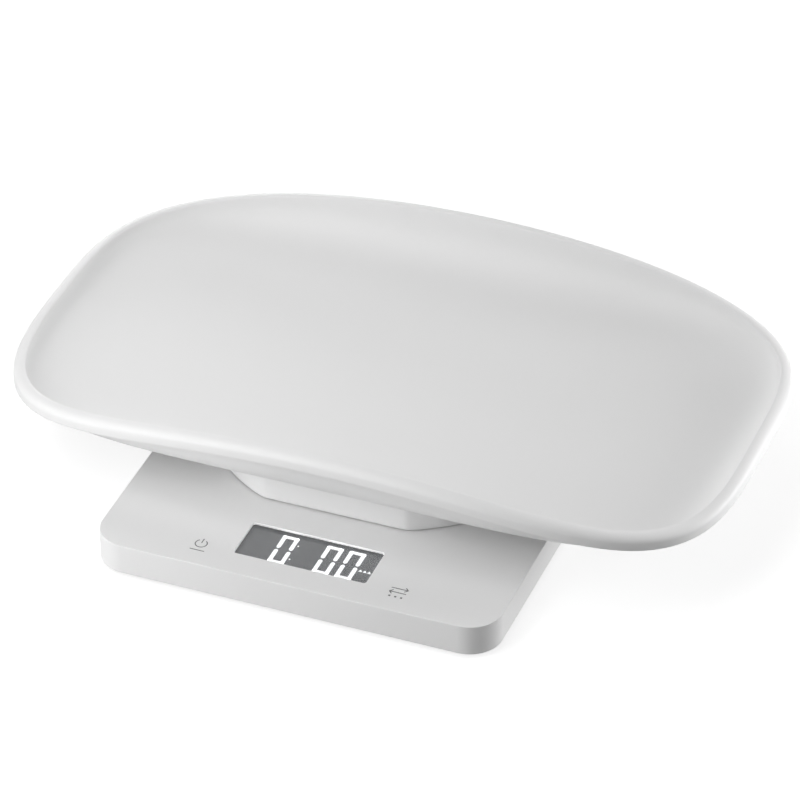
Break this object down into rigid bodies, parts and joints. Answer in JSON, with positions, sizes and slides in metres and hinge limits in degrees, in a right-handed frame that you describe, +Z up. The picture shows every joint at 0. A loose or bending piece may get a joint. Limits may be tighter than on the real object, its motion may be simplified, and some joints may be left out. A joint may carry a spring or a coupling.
{
  "type": "digital baby weighing scale",
  "caption": "Free-standing baby scale: a saddle-rimmed moulded tray lifts off a load cell platform on a flat base with a display and touch keys.",
  "frame": {"origin": "on the floor, under the middle of the whole scale's box", "axes": "+X to the right along the tray's length, +Y away from the display end, +Z up"},
  "size_m": [0.4006, 0.286, 0.0706],
  "materials": {
    "tray_white": "satin white moulding",
    "white_shell": "satin white moulding",
    "grey_shell": "fine texture, off-white",
    "foot_rubber": "matt",
    "zinc_plated": "zinc plated",
    "spring_steel": "nickel plated wire",
    "clear_lens": "clear gloss",
    "lcd_glass": "grey liquid crystal glass with pale segments",
    "diffuser": "milky",
    "frame_white": "plain moulding",
    "contact_rubber": "layered strip",
    "board_green": "solder mask",
    "potting_black": "epoxy drop",
    "component_body": "ceramic and plastic bodies",
    "plug_nylon": "nylon",
    "beam_aluminium": "milled",
    "gauge_foil": "amber film",
    "sealant": "soft silicone",
    "wire_sheath": "soft sheath",
    "cell_jacket": "shrink sleeve with bare nub"
  },
  "bodies": {
    "base": {"top_cover": "white_shell", "bottom_cover": "grey_shell", "foot_front_left": "foot_rubber", "foot_front_right": "foot_rubber", "foot_back_left": "foot_rubber", "foot_back_right": "foot_rubber", "housing_screws": "zinc_plated", "display_window": "clear_lens", "lcd_panel": "lcd_glass", "lcd_backlight": "diffuser", "lcd_frame": "frame_white", "contact_strips": "contact_rubber", "circuit_board": "board_green", "board_screws": "zinc_plated", "controller_chip": "potting_black", "board_components": "component_body", "wire_plugs": "plug_nylon", "touch_spring_left": "spring_steel", "touch_spring_right": "spring_steel", "base_plate": "zinc_plated", "base_plate_screws": "zinc_plated", "fixed_end_spacer": "zinc_plated", "fixed_end_screws": "zinc_plated", "load_cell": "beam_aluminium", "strain_gauges": "gauge_foil", "gauge_sealant": "sealant", "overload_stop": "zinc_plated", "load_cell_wires": "wire_sheath", "battery_1": "cell_jacket", "battery_2": "cell_jacket", "battery_3": "cell_jacket", "battery_4": "cell_jacket", "battery_springs": "spring_steel", "battery_contacts": "zinc_plated", "battery_wires": "wire_sheath"},
    "platform": {"platform": "white_shell", "load_spider": "zinc_plated", "load_end_spacer": "zinc_plated", "load_end_screws": "zinc_plated", "platform_screws": "zinc_plated"},
    "tray": {"tray": "tray_white"},
    "battery_door": {"battery_door": "grey_shell"}
  },
  "joints": [
    {"name": "platform_deflection", "type": "slide", "parent": "base", "child": "platform", "axis": [0, 0, 1], "range_m": [-0.0005, 0], "stiffness_N_per_m": 392400, "deforming": ["load_cell", "strain_gauges", "gauge_sealant"]},
    {"name": "tray_lift", "type": "slide", "parent": "platform", "child": "tray", "axis": [0, 0, 1], "range_m": [0, 0.06]},
    {"name": "battery_door_slide", "type": "slide", "parent": "base", "child": "battery_door", "axis": [0, -1, 0], "range_m": [0, 0.0085]}
  ]
}
